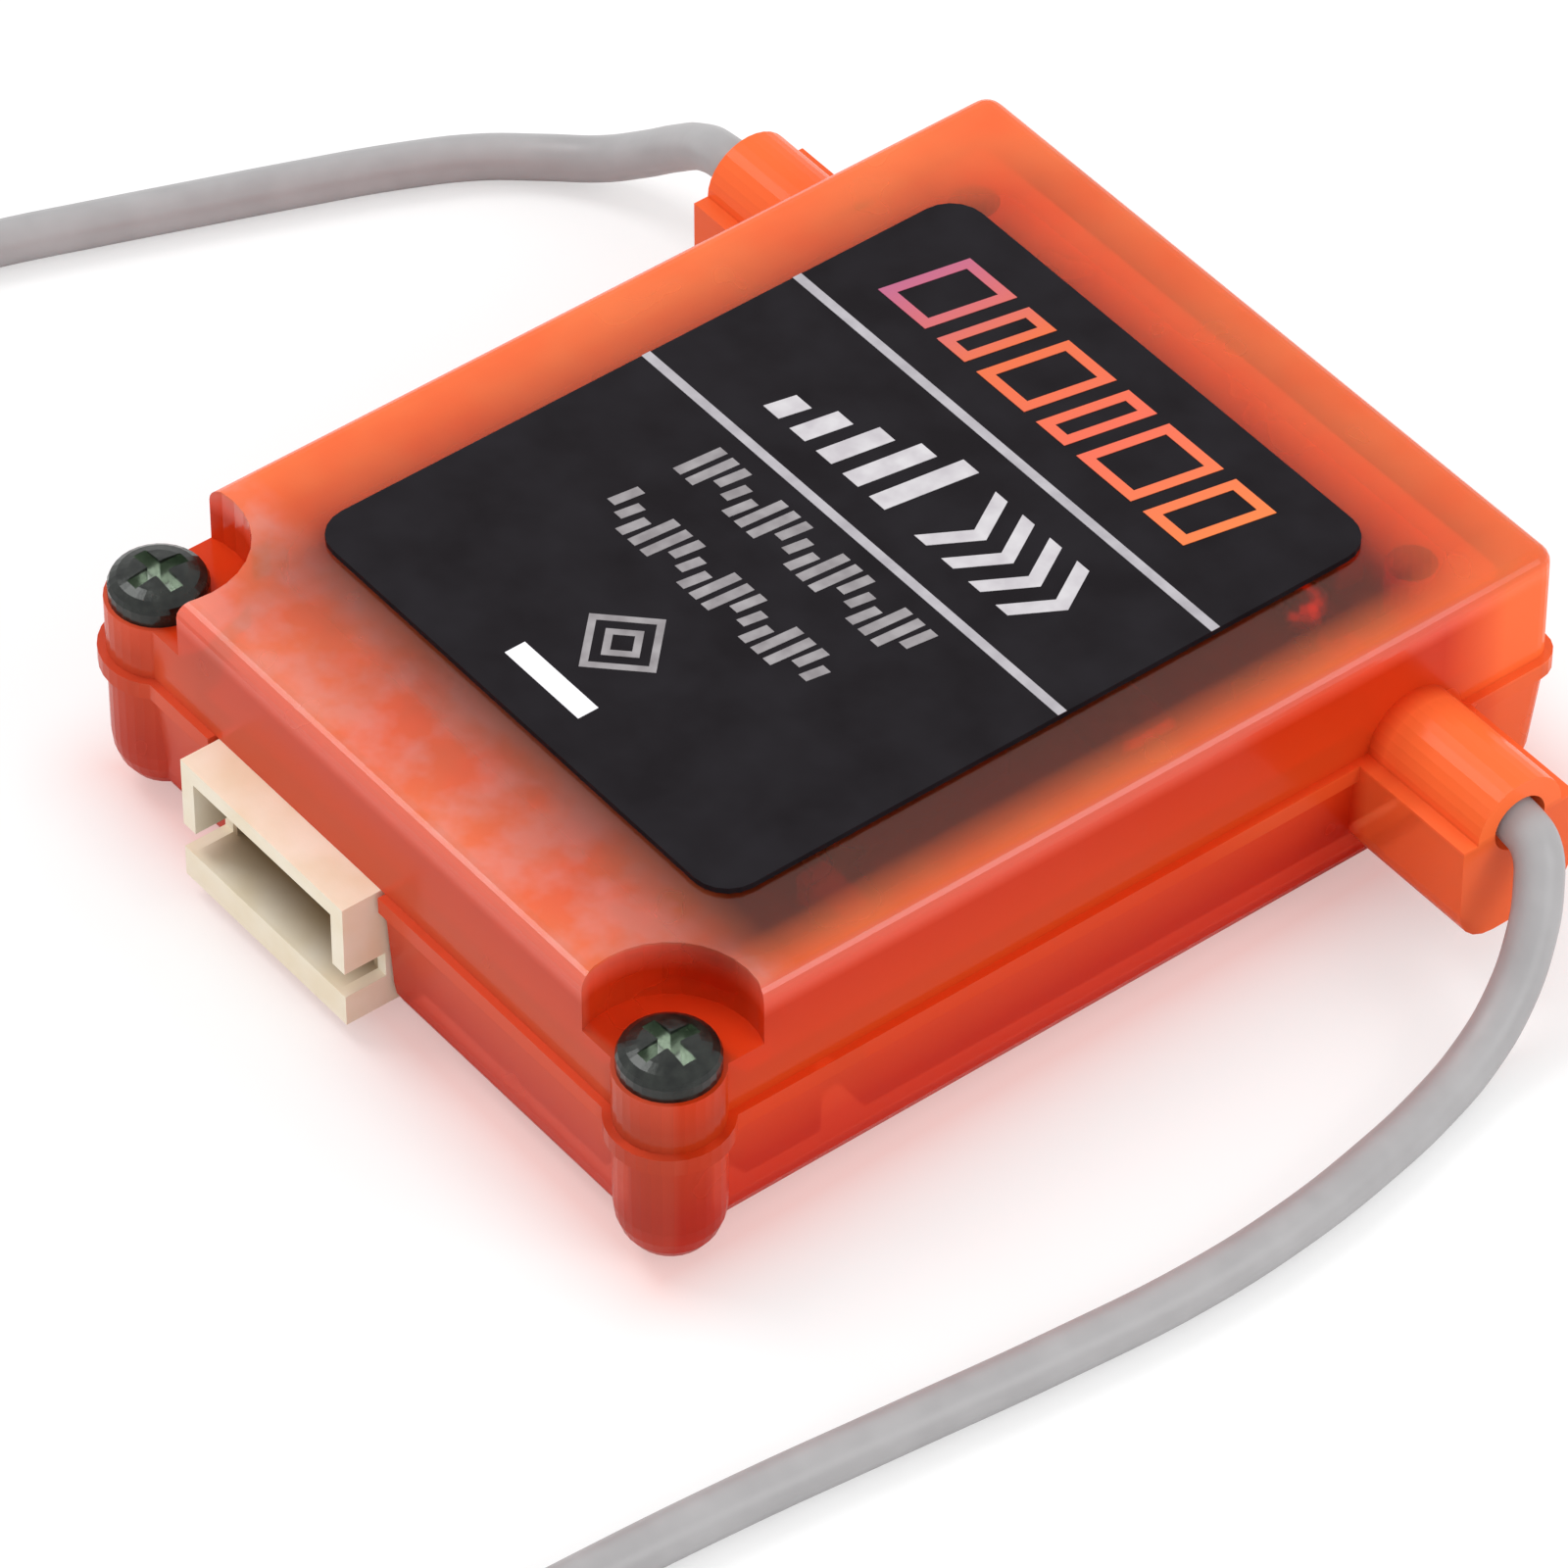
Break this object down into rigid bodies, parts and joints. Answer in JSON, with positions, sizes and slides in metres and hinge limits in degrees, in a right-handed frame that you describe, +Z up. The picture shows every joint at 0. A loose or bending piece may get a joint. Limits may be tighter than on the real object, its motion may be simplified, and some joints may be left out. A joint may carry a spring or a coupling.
{
  "type": "radio-control satellite receiver",
  "caption": "Small translucent-cased radio receiver for a model, with a side-entry header in the front and a coax aerial lead out of each side.",
  "frame": {"origin": "centre of the case's footprint, on the flat underside of the base", "axes": "+Z up out of the labelled top, -Y towards the front wall with the header and the two screws, +X to the right as one faces the front wall"},
  "size_m": [0.059, 0.047, 0.0071],
  "materials": {
    "orange_shell": "translucent moulded plastic",
    "black_label": "satin printed film",
    "black_steel": "black oxide",
    "board_laminate": "solder mask",
    "cream_nylon": "moulded nylon",
    "tinned_metal": "tinned",
    "black_resin": "moulded resin",
    "ceramic": "fired ceramic",
    "resistor_glaze": "glazed",
    "yellow_resin": "moulded resin",
    "clear_lens": "clear resin",
    "grey_jacket": "smooth fluoropolymer jacket",
    "clear_core": "translucent inner insulation"
  },
  "bodies": {
    "root": {"upper_case": "orange_shell", "lower_case": "orange_shell", "label": "black_label", "case_screw_left": "black_steel", "case_screw_right": "black_steel", "main_board": "board_laminate", "header_housing": "cream_nylon", "header_pin_1": "tinned_metal", "header_pin_2": "tinned_metal", "header_pin_3": "tinned_metal", "header_tab_left": "tinned_metal", "header_tab_right": "tinned_metal", "radio_chip": "black_resin", "microcontroller": "black_resin", "memory_chip": "black_resin", "aerial_switch": "black_resin", "voltage_regulator": "black_resin", "radio_crystal": "tinned_metal", "clock_crystal": "tinned_metal", "smoothing_capacitor": "yellow_resin", "capacitor_1": "ceramic", "capacitor_2": "ceramic", "capacitor_3": "ceramic", "capacitor_4": "ceramic", "capacitor_5": "ceramic", "capacitor_6": "ceramic", "resistor_1": "resistor_glaze", "resistor_2": "resistor_glaze", "resistor_3": "resistor_glaze", "resistor_4": "resistor_glaze", "matching_coil_left": "ceramic", "matching_coil_right": "ceramic", "status_light": "clear_lens", "aerial_joint_left": "tinned_metal", "aerial_joint_right": "tinned_metal", "aerial_lead_left": "grey_jacket", "aerial_lead_right": "grey_jacket", "aerial_coil_left": "grey_jacket", "aerial_coil_right": "grey_jacket", "aerial_tip_left": "clear_core", "aerial_tip_right": "clear_core"}
  },
  "joints": []
}
